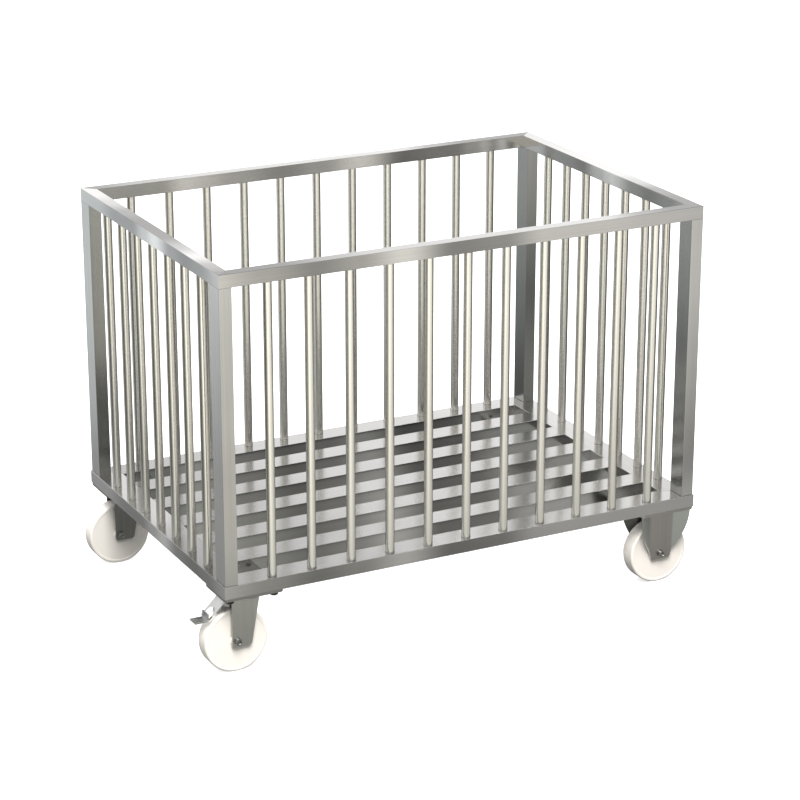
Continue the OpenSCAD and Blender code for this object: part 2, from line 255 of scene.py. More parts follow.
# %% What the steel sees of the floor
FRONT_EDGE = (0.93, 1.03)
SIDE_EDGE = (0.9, 1.5)
# FADE and SHADE paint shade into the floor's glow, near the pen and under it.
FADE = (0.6, 3.0, 0.44, 1.0)
SHADE = (0.6, 1.2, 0.8, 1.0)
SHADE_X, SHADE_Y = 0.68, 0.55


def floor_tone(tree):
    """Near tones within the edges and far tones past them, with painted shade that darkens them towards
    the pen and under it.
    """
    place = object_place(tree)
    spot = axes_of(tree, place)
    forwards = calculate(tree, "MULTIPLY", spot["Y"], -1.0)
    bearing = calculate(tree, "ARCTAN2", spot["X"], forwards)
    degrees = calculate(tree, "MULTIPLY", bearing, 180 / math.pi)
    near_tone = ramp(tree, degrees, -180, 180, NEAR_TONES)
    far_tone = ramp(tree, degrees, -180, 180, FAR_TONES)
    away = add_node(tree, "ShaderNodeVectorMath", operation="LENGTH")
    tree.links.new(place, away.inputs[0])
    # Painted shade: the glow fades towards the pen.
    further = between(tree, away.outputs["Value"], *FADE, smooth=False)
    wide = calculate(tree, "ABSOLUTE", spot["X"])
    deep = calculate(tree, "ABSOLUTE", spot["Y"])
    under = [calculate(tree, "DIVIDE", side, half) for side, half in ((wide, SHADE_X), (deep, SHADE_Y))]
    # Painted shadow: the glow is dimmer under the pen.
    under_pen_painted_shadow = between(tree, calculate(tree, "MAXIMUM", *under), *SHADE)
    past_front = between(tree, forwards, *FRONT_EDGE)
    past_side = between(tree, calculate(tree, "MAXIMUM", wide, spot["Y"]), *SIDE_EDGE)
    outside = calculate(tree, "MAXIMUM", past_front, past_side)
    lit = mix_colours(tree, outside, near_tone, far_tone)
    strength = calculate(tree, "MULTIPLY", further, under_pen_painted_shadow)
    return mix_colours(tree, strength, (0.0, 0.0, 0.0), lit)


# %% [markdown]
# ## Floor material
# Light Path tells the floor who looks at it. Mirrored rays see the patches, scattered
# rays see them dimmer, and the lens sees a pale matt floor that catches the shadow.

# %% Floor material
GLOW, SCATTERED_GLOW = 1.35, 0.5
PALE, PALE_LIFT = 0.85, 0.62

paint = bpy.data.materials.new("floor_sweep")
paint.use_nodes = True
paint.cycles.emission_sampling = "NONE"
tree = paint.node_tree
tree.nodes.clear()
ray = add_node(tree, "ShaderNodeLightPath").outputs
glow = add_node(tree, "ShaderNodeEmission")
tree.links.new(floor_tone(tree), glow.inputs["Color"])
power = between(tree, ray["Is Diffuse Ray"], 0.0, 1.0, GLOW, SCATTERED_GLOW, smooth=False)
tree.links.new(power, glow.inputs["Strength"])
matt = add_node(tree, "ShaderNodeBsdfDiffuse", {"Color": (PALE, PALE, PALE, 1)})
lift = add_node(tree, "ShaderNodeEmission", {"Color": (1, 1, 1, 1), "Strength": PALE_LIFT})
pale = add_node(tree, "ShaderNodeAddShader")
either = add_node(tree, "ShaderNodeMixShader")
output = add_node(tree, "ShaderNodeOutputMaterial")
for result, socket in (
    (matt.outputs[0], pale.inputs[0]), (lift.outputs[0], pale.inputs[1]),
    (ray["Is Camera Ray"], either.inputs[0]), (glow.outputs[0], either.inputs[1]),
    (pale.outputs[0], either.inputs[2]), (either.outputs[0], output.inputs["Surface"]),
):
    tree.links.new(result, socket)
floor_data.materials.append(paint)
print("floor ready")

# %% [markdown]
# ## Lamps
# Two square softboxes light what isn't metal: the white wheels and the floor. A big
# lamp close by gives a soft shadow, and a weak one from the left fills the dark side.


# %% Soft lamps
LAMP_AWAY = 4.5


def soft_lamp(name, turn, rise, size, watts, colour):
    """A square softbox that looks at the middle of the pen."""
    data = bpy.data.lights.new(name, "AREA")
    data.shape = "SQUARE"
    data.size = size
    data.energy = watts
    data.color = colour
    lamp = bpy.data.objects.new(name, data)
    bpy.context.scene.collection.objects.link(lamp)
    out = outwards(math.radians(turn), math.radians(rise))
    lamp.location = AIM + out * LAMP_AWAY
    lamp.rotation_euler = out.to_track_quat("Z", "Y").to_euler()


soft_lamp("key", -22, 52, 2.2, 340, (1.0, 0.98, 0.95))
soft_lamp("side", -80, 58, 2.0, 25, (1.0, 0.99, 0.98))
print("lamps ready")

# %% [markdown]
# ## Brushed grain
# Satin stainless is drawn through abrasive belts, so it carries fine lines along each
# tube and broader, cloudy changes of tone across it. The lines could be painted on an
# image, but noise stretched along one axis never repeats and works at any size. The
# pattern is one shader node group, and each material gives it the direction of its own
# grain. The group only puts out values: the metal itself stays in each material.


# %% Grain group
def grain_group():
    """Lines are fine scratches, Streaks are visible bands, and Clouds are smudges."""
    tree = bpy.data.node_groups.new("brushed grain", "ShaderNodeTree")
    for name in ("Vector", "Stretch"):
        tree.interface.new_socket(name, in_out="INPUT", socket_type="NodeSocketVector")
    for name in ("Lines", "Streaks", "Clouds"):
        tree.interface.new_socket(name, in_out="OUTPUT", socket_type="NodeSocketFloat")
    inside = tree.nodes.new("NodeGroupInput").outputs
    outside = tree.nodes.new("NodeGroupOutput").inputs
    drawn = add_node(tree, "ShaderNodeVectorMath", operation="MULTIPLY")
    tree.links.new(inside["Vector"], drawn.inputs[0])
    tree.links.new(inside["Stretch"], drawn.inputs[1])
    tree.links.new(noise(tree, drawn.outputs[0], 1400.0, 3.0), outside["Lines"])
    tree.links.new(noise(tree, drawn.outputs[0], 210.0, 2.0), outside["Streaks"])
    tree.links.new(noise(tree, inside["Vector"], 5.5, 2.0), outside["Clouds"])
    return tree


GRAIN = grain_group()
print("grain group ready")

# %% [markdown]
# ## Worn edges
# Hands and boots polish the corners of a steel frame, so they are a little brighter
# than the flats. A Bevel node looks at the surface as if its edges were rounder. Where
# that differs from the real normal, the point is on a corner.


# %% Edge group
def edge_group():
    """Worn is 1 on rounded corners and 0 on flats."""
    tree = bpy.data.node_groups.new("edge polish", "ShaderNodeTree")
    tree.interface.new_socket("Radius", in_out="INPUT", socket_type="NodeSocketFloat")
    tree.interface.new_socket("Worn", in_out="OUTPUT", socket_type="NodeSocketFloat")
    rounded = add_node(tree, "ShaderNodeBevel", samples=4)
    tree.links.new(tree.nodes.new("NodeGroupInput").outputs["Radius"], rounded.inputs["Radius"])
    agree = add_node(tree, "ShaderNodeVectorMath", operation="DOT_PRODUCT")
    tree.links.new(rounded.outputs["Normal"], agree.inputs[0])
    tree.links.new(surface_normal(tree), agree.inputs[1])
    worn = between(tree, agree.outputs["Value"], 0.995, 0.90)
    tree.links.new(worn, tree.nodes.new("NodeGroupOutput").inputs["Worn"])
    return tree


EDGE = edge_group()
print("edge group ready")

# %% [markdown]
# ## Painted reflection bands
# The rails and the deck carry wide patches of painted reflection along each tube, each
# lighter or darker than the next, multiplied into the colour of the steel. Each table has
# a lean, which slants the patches, and then (place in metres, tone) stops along the tube.
# The first table is for the sides of a tube and the second for its top. The deck's patches
# are more even than the rails'.

# %% Band tables
# Painted reflections: light and dark tone stops along the rails and the deck.
RAIL_X_REFLECTIONS = (
    (-0.364, [(-0.74, 0.55), (-0.52, 0.55), (-0.455, 0.92), (-0.32, 0.60), (-0.20, 0.40), (-0.10, 0.55),
              (0.01, 1.0), (0.13, 0.36), (0.25, 0.42), (0.36, 0.82), (0.74, 0.77)]),
    (0.165, [(-0.62, 0.15), (-0.49, 0.17), (-0.36, 0.40), (-0.25, 0.58), (0.30, 0.68), (0.41, 0.30),
             (0.49, 0.15), (0.62, 0.15)]),
)
RAIL_Y_REFLECTIONS = (
    (0.0, [(-0.4, 0.86), (-0.30, 0.52), (-0.22, 0.42), (-0.14, 0.55), (-0.05, 1.32), (0.01, 0.90),
           (0.08, 0.48), (0.17, 0.50), (0.3, 0.86), (0.4, 0.90)]),
    (0.33, [(-0.59, 0.18), (-0.51, 0.40), (-0.43, 0.85), (-0.35, 0.50), (-0.26, 0.20), (-0.12, 0.16),
            (-0.03, 0.26), (0.06, 0.60), (0.14, 0.84), (0.59, 0.68)]),
)
DECK_X_REFLECTIONS = (RAIL_X_REFLECTIONS[0], (0.165, [(-0.62, 0.40), (-0.36, 0.46), (0.0, 0.60), (0.62, 0.66)]))
DECK_Y_REFLECTIONS = (RAIL_Y_REFLECTIONS[0], (0.33, [(-0.59, 0.30), (-0.35, 0.36), (-0.1, 0.60), (0.59, 0.70)]))


def paint_reflection_bands(tree, place, grain, tone, bands):
    """Multiplies a tone by the painted reflection bands of the sides, or of the top where a face looks
    up.
    """
    spot = axes_of(tree, place)
    along, other = (spot[axis] for axis in (("X", "Y") if grain == "x" else ("Y", "X")))
    sets = []
    for lean, stops in bands:
        slanted = calculate(tree, "ADD", along, calculate(tree, "MULTIPLY", other, lean))
        grey = [(at, (value, value, value)) for at, value in stops]
        sets.append(ramp(tree, slanted, stops[0][0], stops[-1][0], grey))
    upward = between(tree, axes_of(tree, surface_normal(tree))["Z"], 0.3, 0.8)
    return mix_colours(tree, 1.0, tone, mix_colours(tree, upward, *sets), blend="MULTIPLY")


# %% [markdown]
# ## Brushed steel
# Every steel on the pen is one recipe with its own grain, tones and roughness: smudges
# and streaks mix a dark and a light tone, fine lines make the gloss uneven, and a very
# shallow bump lets the lines catch the light. A Principled shader with full Metallic
# does the rest. A real metal also has an edge tint, which Specular Tint sets: with a
# dark one, a round bar is darker towards its two edges.

# %% Steel recipe
ALONG = {"x": (0.012, 1, 1), "y": (1, 0.012, 1), "z": (1, 1, 0.012), "spun": (1, 1, 1)}
CLOUD_SHARE, STREAK_SHARE = 0.55, 0.45
WORN_RADIUS = 1.2 * MM
POLISH_GAIN = 1.25


def steel(
    name, grain, dark, light, rough, polish, streaks=1.0, bands=None, painted_wing_light=None,
    edge_tint=(1.0, 1.0, 1.0),
):
    """Brushed steel. grain is the axis of its lines, dark and light are its two tones,
    polish is how far worn edges brighten, and the tone for faces bent sideways is painted
    light: a lighter tone on those faces, such as the wings of a bracket."""
    made = bpy.data.materials.new(name)
    made.use_nodes = True
    tree = made.node_tree
    metal = tree.nodes["Principled BSDF"]
    metal.inputs["Metallic"].default_value = 1.0
    metal.inputs["Specular Tint"].default_value = (*edge_tint, 1)
    place = object_place(tree)
    pattern = add_node(tree, "ShaderNodeGroup", node_tree=GRAIN)
    pattern.inputs["Stretch"].default_value = ALONG[grain]
    tree.links.new(place, pattern.inputs["Vector"])
    lines, streak, cloud = (pattern.outputs[key] for key in ("Lines", "Streaks", "Clouds"))
    clouded = calculate(tree, "MULTIPLY", cloud, CLOUD_SHARE)
    streaked = calculate(tree, "MULTIPLY", streak, STREAK_SHARE)
    shade = between(tree, calculate(tree, "ADD", clouded, streaked), 0.32, 0.68)
    tone = mix_colours(tree, shade, dark, light)
    # Painted reflection: the bands multiply the tone of the steel.
    if bands:
        tone = paint_reflection_bands(tree, place, grain, tone, bands)
    # Painted light: faces bent sideways get a lighter tone.
    if painted_wing_light:
        tilt = calculate(tree, "ABSOLUTE", axes_of(tree, surface_normal(tree))["X"])
        tone = mix_colours(tree, between(tree, tilt, 0.15, 0.45), tone, painted_wing_light)
    edge = add_node(tree, "ShaderNodeGroup", {"Radius": WORN_RADIUS}, node_tree=EDGE)
    worn = calculate(tree, "MULTIPLY", edge.outputs["Worn"], polish)
    polished = tuple(min(1.0, c * POLISH_GAIN) for c in light)
    tree.links.new(mix_colours(tree, worn, tone, polished), metal.inputs["Base Color"])
    gloss = between(tree, lines, 0.3, 0.7, rough * 0.95, rough * 1.05)
    tree.links.new(gloss, metal.inputs["Roughness"])
    if streaks:
        height = calculate(tree, "ADD", lines, calculate(tree, "MULTIPLY", streak, streaks))
        emboss(tree, metal, height, 0.03, 0.6 * MM)
    return made


# %% [markdown]
# ## The steels
# The rails and the deck share their two tones and differ in their bands of painted
# reflection. The posts are a shade darker, and the sides that face into the pen get a
# darker steel still, as painted shade. The bars are the brightest, because round bar is
# ground. Caster steel is galvanised sheet, satin outside. As painted shade, its inner
# sides get a very dark steel and the whole rear fork a darker one, and as painted light
# the bent wings of a bracket get a lighter tone.

# %% Frame steels
TUBE_TONES = (0.60, 0.595, 0.585), (0.65, 0.645, 0.635)
TUBE = {
    "x": steel("brushed_rail_x", "x", *TUBE_TONES, 0.19, 0.08, 0.3, RAIL_X_REFLECTIONS),
    "y": steel("brushed_rail_y", "y", *TUBE_TONES, 0.19, 0.08, 0.3, RAIL_Y_REFLECTIONS),
    "deck x": steel("brushed_deck_x", "x", *TUBE_TONES, 0.17, 0.05, 0.3, DECK_X_REFLECTIONS),
    "deck y": steel("brushed_deck_y", "y", *TUBE_TONES, 0.17, 0.05, 0.3, DECK_Y_REFLECTIONS),
    "z": steel("brushed_tube_z", "z", (0.49, 0.49, 0.48), (0.54, 0.54, 0.53), 0.18, 0.15, 0.3),
}
# Painted shade: a darker steel for the sides of the posts that face into the pen.
POST_PAINTED_SHADE = steel(
    "brushed_tube_inside", "z", (0.35, 0.355, 0.34), (0.39, 0.395, 0.38), 0.2, 0.15, 0.3
)
BAR_STEEL = steel(
    "satin_bar", "z", (0.82, 0.805, 0.755), (0.86, 0.845, 0.795), 0.25, 0.0, 0.0,
    edge_tint=(0.1, 0.1, 0.1),
)
print("frame steels:", len(TUBE) + 2)

# %% Caster steels
SHEET = steel("caster_sheet", "z", (0.43, 0.425, 0.41), (0.50, 0.495, 0.48), 0.3, 0.3, 0.3)
# Painted light: the bent wings of the brackets get a lighter tone than the web.
BRACKET = steel(
    "bracket_sheet", "z", (0.36, 0.34, 0.325), (0.41, 0.39, 0.37), 0.3, 0.3, 0.3,
    painted_wing_light=(0.50, 0.52, 0.50),
)
# Painted shade: the whole rear fork gets a darker steel than the front one.
REAR_FORK_PAINTED_SHADE = steel("dull_sheet", "z", (0.20, 0.20, 0.19), (0.26, 0.26, 0.25), 0.36, 0.3, 0.3)
# Painted shade: a very dark steel for the inner faces of forks and brackets.
INNER_PAINTED_SHADE = steel("raw_sheet", "z", (0.10, 0.10, 0.095), (0.15, 0.15, 0.145), 0.42, 0.2, 0.3)
PLATE = steel("caster_plate_steel", "x", (0.24, 0.235, 0.225), (0.32, 0.31, 0.30), 0.36, 0.4)
PEDAL = steel("pedal_sheet", "x", (0.36, 0.365, 0.36), (0.46, 0.465, 0.46), 0.3, 0.4)
AXLE = steel("turned_axle", "y", (0.22, 0.22, 0.215), (0.34, 0.335, 0.32), 0.32, 0.4)
BLACK = steel(
    "blackened_fastener", "spun", (0.035, 0.034, 0.033), (0.06, 0.058, 0.056), 0.42, 0.5
)
print("caster steels ready")

# %% [markdown]
# ## Weld beads
# Each bar and post is welded round its foot. A weld bead is a small rope of metal with
# ripples, dulled and darkened by the heat, and its near-black colour is also a painted
# contact shadow round each foot. The ripples could be modelled, but at this size a noise
# bump is enough, and the bead itself is real geometry.


# %% Weld material
def weld_steel():
    made = bpy.data.materials.new("weld_bead")
    made.use_nodes = True
    tree = made.node_tree
    metal = tree.nodes["Principled BSDF"]
    metal.inputs["Metallic"].default_value = 1.0
    metal.inputs["Roughness"].default_value = 0.5
    place = object_place(tree)
    tint = between(tree, noise(tree, place, 60.0, 2.0), 0.35, 0.65)
    # Heat tint and painted shadow: the bead is far darker than the steel round it.
    heat_tint_and_painted_shadow = mix_colours(tree, tint, (0.08, 0.078, 0.074), (0.15, 0.145, 0.135))
    tree.links.new(heat_tint_and_painted_shadow, metal.inputs["Base Color"])
    emboss(tree, metal, noise(tree, place, 650.0, 1.0), 0.5, 0.4 * MM)
    return made


WELD = weld_steel()
print("weld material ready")

# %% [markdown]
# ## Nylon
# The wheels are turned from solid cream nylon. Plastic isn't a metal, so its colour
# comes from light that scatters just under the skin. Slow changes of tone, scuffs and a
# fine turned grain stop it from looking like paint, and a soft gloss lies over it.


# %% Plastic materials
def plastic(name, dark, light, rough):
    made = bpy.data.materials.new(name)
    made.use_nodes = True
    tree = made.node_tree
    skin = tree.nodes["Principled BSDF"]
    skin.inputs["IOR"].default_value = 1.53
    place = object_place(tree)
    tone = mix_colours(tree, between(tree, noise(tree, place, 6.0, 2.0), 0.3, 0.7), dark, light)
    tree.links.new(tone, skin.inputs["Base Color"])
    scuffed = between(tree, noise(tree, place, 90.0, 4.0), 0.35, 0.7, rough * 0.8, rough * 1.4)
    tree.links.new(scuffed, skin.inputs["Roughness"])
    emboss(tree, skin, noise(tree, place, 500.0, 2.0), 0.08, 0.3 * MM)
    return made


NYLON = plastic("cream_nylon", (0.92, 0.88, 0.82), (0.95, 0.915, 0.86), 0.36)
BUSH = plastic("dark_bush", (0.05, 0.05, 0.052), (0.075, 0.075, 0.078), 0.4)
print("plastics ready")

# %% [markdown]
# ## Mesh helpers
# Every piece starts as a bmesh and goes through the same finish: faces are turned to
# point outwards, smooth shading is limited to gentle angles, and weighted normals keep
# the flat faces flat beside their rounded edges. A piece then rides on the body of the
# CAD node that it stands for.


# %% Finish a piece
WELDED = 0.002 * MM
SMOOTH_BELOW = math.radians(38)
UPRIGHT = 0.5


def finish_piece(bm, name, material, slot, *nodes, body=None, inside=None):
    """Turns a bmesh into a named piece that replaces those CAD nodes. inside is a second
    material and a point: it goes on the upright faces that look towards the point, as
    painted shade on the sides that face inwards."""
    bmesh.ops.remove_doubles(bm, verts=bm.verts, dist=WELDED)
    bmesh.ops.recalc_face_normals(bm, faces=bm.faces)
    mesh = bpy.data.meshes.new(name)
    bm.to_mesh(mesh)
    bm.free()
    mesh.materials.append(material)
    # Painted shade: upright faces that look towards the point get the darker second material.
    if inside:
        mesh.materials.append(inside[0])
        for face in mesh.polygons:
            towards = face.normal.dot(inside[1] - face.center) > 0 and abs(face.normal.z) < UPRIGHT
            face.material_index = int(towards)
    mesh.polygons.foreach_set("use_smooth", [True] * len(mesh.polygons))
    mesh.set_sharp_from_angle(angle=SMOOTH_BELOW)
    piece = bpy.data.objects.new(name, mesh)
    bpy.context.scene.collection.objects.link(piece)
    flats = piece.modifiers.new("flat_faces", "WEIGHTED_NORMAL")
    flats.keep_sharp = True
    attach(piece, body or BODY[nodes[0]])
    if nodes:
        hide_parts(*nodes)
    print(f"{name}: {len(mesh.polygons)} faces")


def take_in(bm, other):
    """Moves another bmesh into this one."""
    held = bpy.data.meshes.new("held")
    other.to_mesh(held)
    other.free()
    bm.from_mesh(held)
    bpy.data.meshes.remove(held)


# %% Blocks and their edges
def add_block(bm, low, high):
    """A block between two corners."""
    verts = bmesh.ops.create_cube(bm, size=1)["verts"]
    bmesh.ops.scale(bm, vec=high - low, verts=verts)
    bmesh.ops.translate(bm, vec=(low + high) / 2, verts=verts)
    return verts


def edges_of(verts):
    return list({edge for vert in verts for edge in vert.link_edges})


def running(edges, axis):
    """The edges that run along axis 0, 1 or 2."""
    return [e for e in edges if abs((e.verts[1].co - e.verts[0].co).normalized()[axis]) > 0.999]


def round_off(bm, edges, radius, segments=3):
    bmesh.ops.bevel(
        bm, geom=edges, offset=radius, segments=segments, profile=0.5, affect="EDGES", material=-1
    )


def round_sharp(bm, radius, segments=2, sharper=50, only=None):
    """Rounds every edge sharper than an angle, or those of them that pass a test."""
    limit = math.radians(sharper)
    edges = [e for e in bm.edges if len(e.link_faces) == 2 and e.calc_face_angle() > limit]
    round_off(bm, [e for e in edges if only is None or only(e)], radius, segments)


# %% Turned parts
UP = {"Y": Vector((0, 1, 0)), "Z": Vector((0, 0, 1))}


def add_turned(bm, points, centre, axis, steps=64, closed=False):
    """Spins (radius, height) points round an axis, "Y" or "Z", through centre."""
    out = Vector((1, 0, 0))
    up = UP[axis]
    verts = [bm.verts.new(centre + out * r + up * h) for r, h in points]
    edges = [bm.edges.new(pair) for pair in zip(verts, verts[1:])]
    if closed:
        edges.append(bm.edges.new((verts[-1], verts[0])))
    bmesh.ops.spin(
        bm, geom=verts + edges, cent=centre, axis=up, angle=math.tau, steps=steps, use_merge=True
    )


# %% [markdown]
# ## Tubes of the base and the top frame
# Flat tube has softly rounded corners, and its ends are cut at 45 degrees so that four
# of them close into a rectangle. A block with two slanted cuts and rounded long edges
# gives that in a few steps. The cut ends get a hair of bevel, which leaves the thin
# line of a ground weld.

# %% Mitred tubes
SEAM = 0.25 * MM
CORNER = 0.8 * MM


def mitred_tube(name, node, axis, material, ring):
    """A tube along axis, cut at both ends towards ring, the middle of its rectangle."""
    low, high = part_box(node)
    middle = (low + high) / 2
    bm = bmesh.new()
    add_block(bm, low, high)
    side = 1 - axis
    outer_side = low[side] if middle[side] < ring[side] else high[side]
    for end in (low[axis], high[axis]):
        corner = Vector((0, 0, middle.z))
        corner[axis], corner[side] = end, outer_side
        inward = Vector([math.copysign(1, ring[i] - corner[i]) for i in (0, 1)] + [0])
        normal = inward.cross(UP["Z"])
        if (middle - corner).dot(normal) > 0:
            normal.negate()
        cut = bmesh.ops.bisect_plane(
            bm, geom=bm.verts[:] + bm.edges[:] + bm.faces[:], dist=1e-6,
            plane_co=corner, plane_no=normal, clear_outer=True,
        )
        loop = [e for e in cut["geom_cut"] if isinstance(e, bmesh.types.BMEdge)]
        bmesh.ops.contextual_create(bm, geom=loop)
    ends = [e for e in bm.edges if not running([e], axis)]
    round_off(bm, ends, SEAM, 1)
    long_edges = [e for e in running(bm.edges, axis) if e.calc_face_angle() > math.radians(80)]
    round_off(bm, long_edges, CORNER, 4)
    finish_piece(bm, name, material, "frame_steel", node)


for kind, deck in (("base_tube", "deck "), ("top_rail", "")):
    ring = (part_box(f"{kind}_left")[0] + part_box(f"{kind}_right")[1]) / 2
    for place, axis in (("front", 0), ("rear", 0), ("left", 1), ("right", 1)):
        material = TUBE[deck + "xy"[axis]]
        mitred_tube(f"{place}_{kind}", f"{kind}_{place}", axis, material, ring)
PEN_MIDDLE = Vector((ring.x, 0, 0.55))

# %% [markdown]
# ## Slats and posts
# These are straight lengths of the same tube with square ends. Only their long edges
# are rounded. The ends meet another tube, where a weld closes the gap. The sides of a
# post that look into the pen get a darker steel, as painted shade.


# %% Straight tubes
def straight_tube(name, node, axis, material, inside=None):
    low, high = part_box(node)
    bm = bmesh.new()
    verts = add_block(bm, low, high)
    round_off(bm, running(edges_of(verts), axis), CORNER, 4)
    finish_piece(bm, name, material, "frame_steel", node, inside=inside)


SLATS = sorted(node for node in BODY if node.startswith("floor_slat"))
POSTS = sorted(node for node in BODY if node.startswith("post"))
for node in SLATS:
    straight_tube(node.replace("floor_slat", "slat"), node, 0, TUBE["deck x"])
for node in POSTS:
    name = node.replace("post_", "") + "_post"
    straight_tube(name, node, 2, TUBE["z"], (POST_PAINTED_SHADE, PEN_MIDDLE))

# %% [markdown]
# ## Bars and their welds
# Thirty-six round bars stand between the deck and the top frame. A bar is a circle
# drawn upwards. Its weld is a small ring, made by spinning a circle round the bar, and
# flattened a little where it sits on the tube.

# %% Find the bars
SAME_BAR = 1.05


def bar_places(node):
    """Each bar's middle, then their radius, foot and top, from the CAD node's vertices."""
    low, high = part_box(node)
    wide = 0 if high.x - low.x > high.y - low.y else 1
    thick = high[1 - wide] - low[1 - wide]
    seen = sorted({round(v.co[wide], 5) for v in frame["nodes"][node].data.vertices})
    groups = [[seen[0]]]
    for value in seen[1:]:
        if value - groups[-1][0] > thick * SAME_BAR:
            groups.append([])
        groups[-1].append(value)
    places = []
    for group in groups:
        place = (low + high) / 2
        place[wide] = (group[0] + group[-1]) / 2
        places.append(place)
    return places, thick / 2, low.z, high.z


# %% Bars
BAR_SIDES = 40
BEAD = 0.7 * MM
BEAD_FLAT = 0.9


def add_ring(bm, centre, radius):
    """A weld bead: a small flattened circle spun round the bar."""
    points = [
        (radius + BEAD * math.cos(a), BEAD * BEAD_FLAT * math.sin(a))
        for a in (math.radians(d) for d in range(0, 360, 45))
    ]
    add_turned(bm, points, centre, "Z", steps=32, closed=True)


for side in ("front", "rear", "left", "right"):
    node = f"bars_{side}"
    places, radius, foot, top = bar_places(node)
    bars, welds = bmesh.new(), bmesh.new()
    for place in places:
        made = bmesh.ops.create_cone(
            bars, cap_ends=True, segments=BAR_SIDES, radius1=radius, radius2=radius, depth=top - foot
        )
        bmesh.ops.translate(bars, vec=Vector((place.x, place.y, (foot + top) / 2)), verts=made["verts"])
        for height in (foot, top):
            add_ring(welds, Vector((place.x, place.y, height)), radius)
    finish_piece(bars, f"{side}_bars", BAR_STEEL, "frame_steel", node)
    finish_piece(welds, f"{side}_bar_welds", WELD, "frame_steel", body=BODY[node])

# %% [markdown]
# ## Welds of posts and slats
# A post's weld follows its outline, and a slat's weld fills the small groove that the
# rounded edge leaves. Both are straight beads with round ends, so one helper draws
# them from a thin cylinder.


# %% Straight beads
def add_bead(bm, start, end, radius):
    """A bead from start to end with a domed cap on each end."""
    run = end - start
    made = bmesh.ops.create_cone(
        bm, cap_ends=True, segments=10, radius1=radius, radius2=radius, depth=run.length
    )
    turn = run.to_track_quat("Z", "Y").to_matrix().to_4x4()
    bmesh.ops.transform(bm, matrix=Matrix.Translation((start + end) / 2) @ turn, verts=made["verts"])
    ends = [e for e in edges_of(made["verts"]) if e.calc_face_angle(0) > math.radians(60)]
    round_off(bm, ends, radius * 0.6, 2)


# %% Post and slat welds
POST_BEAD, POST_GAP = 1.1 * MM, 2.5 * MM
SLAT_BEAD, SLAT_GAP = 1.25 * MM, 2 * MM

welds = bmesh.new()
for node in POSTS:
    low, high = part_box(node)
    corners = [
        Vector((x, y, low.z)) for x, y in
        ((low.x, low.y), (high.x, low.y), (high.x, high.y), (low.x, high.y))
    ]
    for start, end in zip(corners, corners[1:] + corners[:1]):
        along = (end - start).normalized() * POST_GAP
        add_bead(welds, start + along, end - along, POST_BEAD)
finish_piece(welds, "post_welds", WELD, "frame_steel", body="frame")

welds = bmesh.new()
for node in SLATS:
    low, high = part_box(node)
    level = high.z - SLAT_BEAD
    for x in (low.x, high.x):
        start, end = (Vector((x, y, level)) for y in (low.y + SLAT_GAP, high.y - SLAT_GAP))
        add_bead(welds, start, end, SLAT_BEAD)
finish_piece(welds, "slat_welds", WELD, "frame_steel", body="frame")

# %% [markdown]
# ## Caster plates
# A caster plate is flame-cut from 6 mm steel with rounded corners. On the swivel
# casters a pressed cup hangs under it and covers the ball race.

# %% Plates
PLATE_T, PLATE_CORNER, PLATE_EDGE = 6 * MM, 8 * MM, 0.7 * MM
CUP_OUTER, CUP_INNER = 36 * MM, 30 * MM
CUP_SEAT = 0.5 * MM


def add_plate(bm, low, high):
    verts = add_block(bm, low, high)
    round_off(bm, running(edges_of(verts), 2), PLATE_CORNER, 8)
    round_sharp(bm, PLATE_EDGE)


for side in ("front", "rear"):
    node = f"swivel_plate_{side}"
    low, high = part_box(node)
    under = high.z - PLATE_T
    bm = bmesh.new()
    add_plate(bm, Vector((low.x, low.y, under)), high)
    centre = Vector(((low.x + high.x) / 2, (low.y + high.y) / 2, low.z))
    deep = under - low.z + CUP_SEAT
    cup = [
        (CUP_OUTER, deep), (CUP_OUTER, 3 * MM), (CUP_OUTER - 1 * MM, 1 * MM), (CUP_OUTER - 2.6 * MM, 0),
        (CUP_INNER + 1 * MM, 0), (CUP_INNER, 1 * MM), (CUP_INNER, deep),
    ]
    add_turned(bm, cup, centre, "Z", closed=True)
    finish_piece(bm, f"{side}_swivel_plate", PLATE, "caster_steel", node)

# %% [markdown]
# ## Forks
# A fork is one sheet: a crown with two legs folded down, wide at the top and raked to
# the axle. Folding is easy to copy in mesh form. A flat face is drawn out from each
# edge of the crown, the fold edges are rounded, and the sheet then gets its thickness.

# %% Fork
SHEET_T, SHEET_EDGE = 4 * MM, 0.6 * MM
FOLD, TOE_CORNER = 6 * MM, 6 * MM
CROWN = 176 * MM
BEHIND, AHEAD, TOE_AHEAD = -43 * MM, 24 * MM, 3.4 * MM
LEG_OUT = 28 * MM


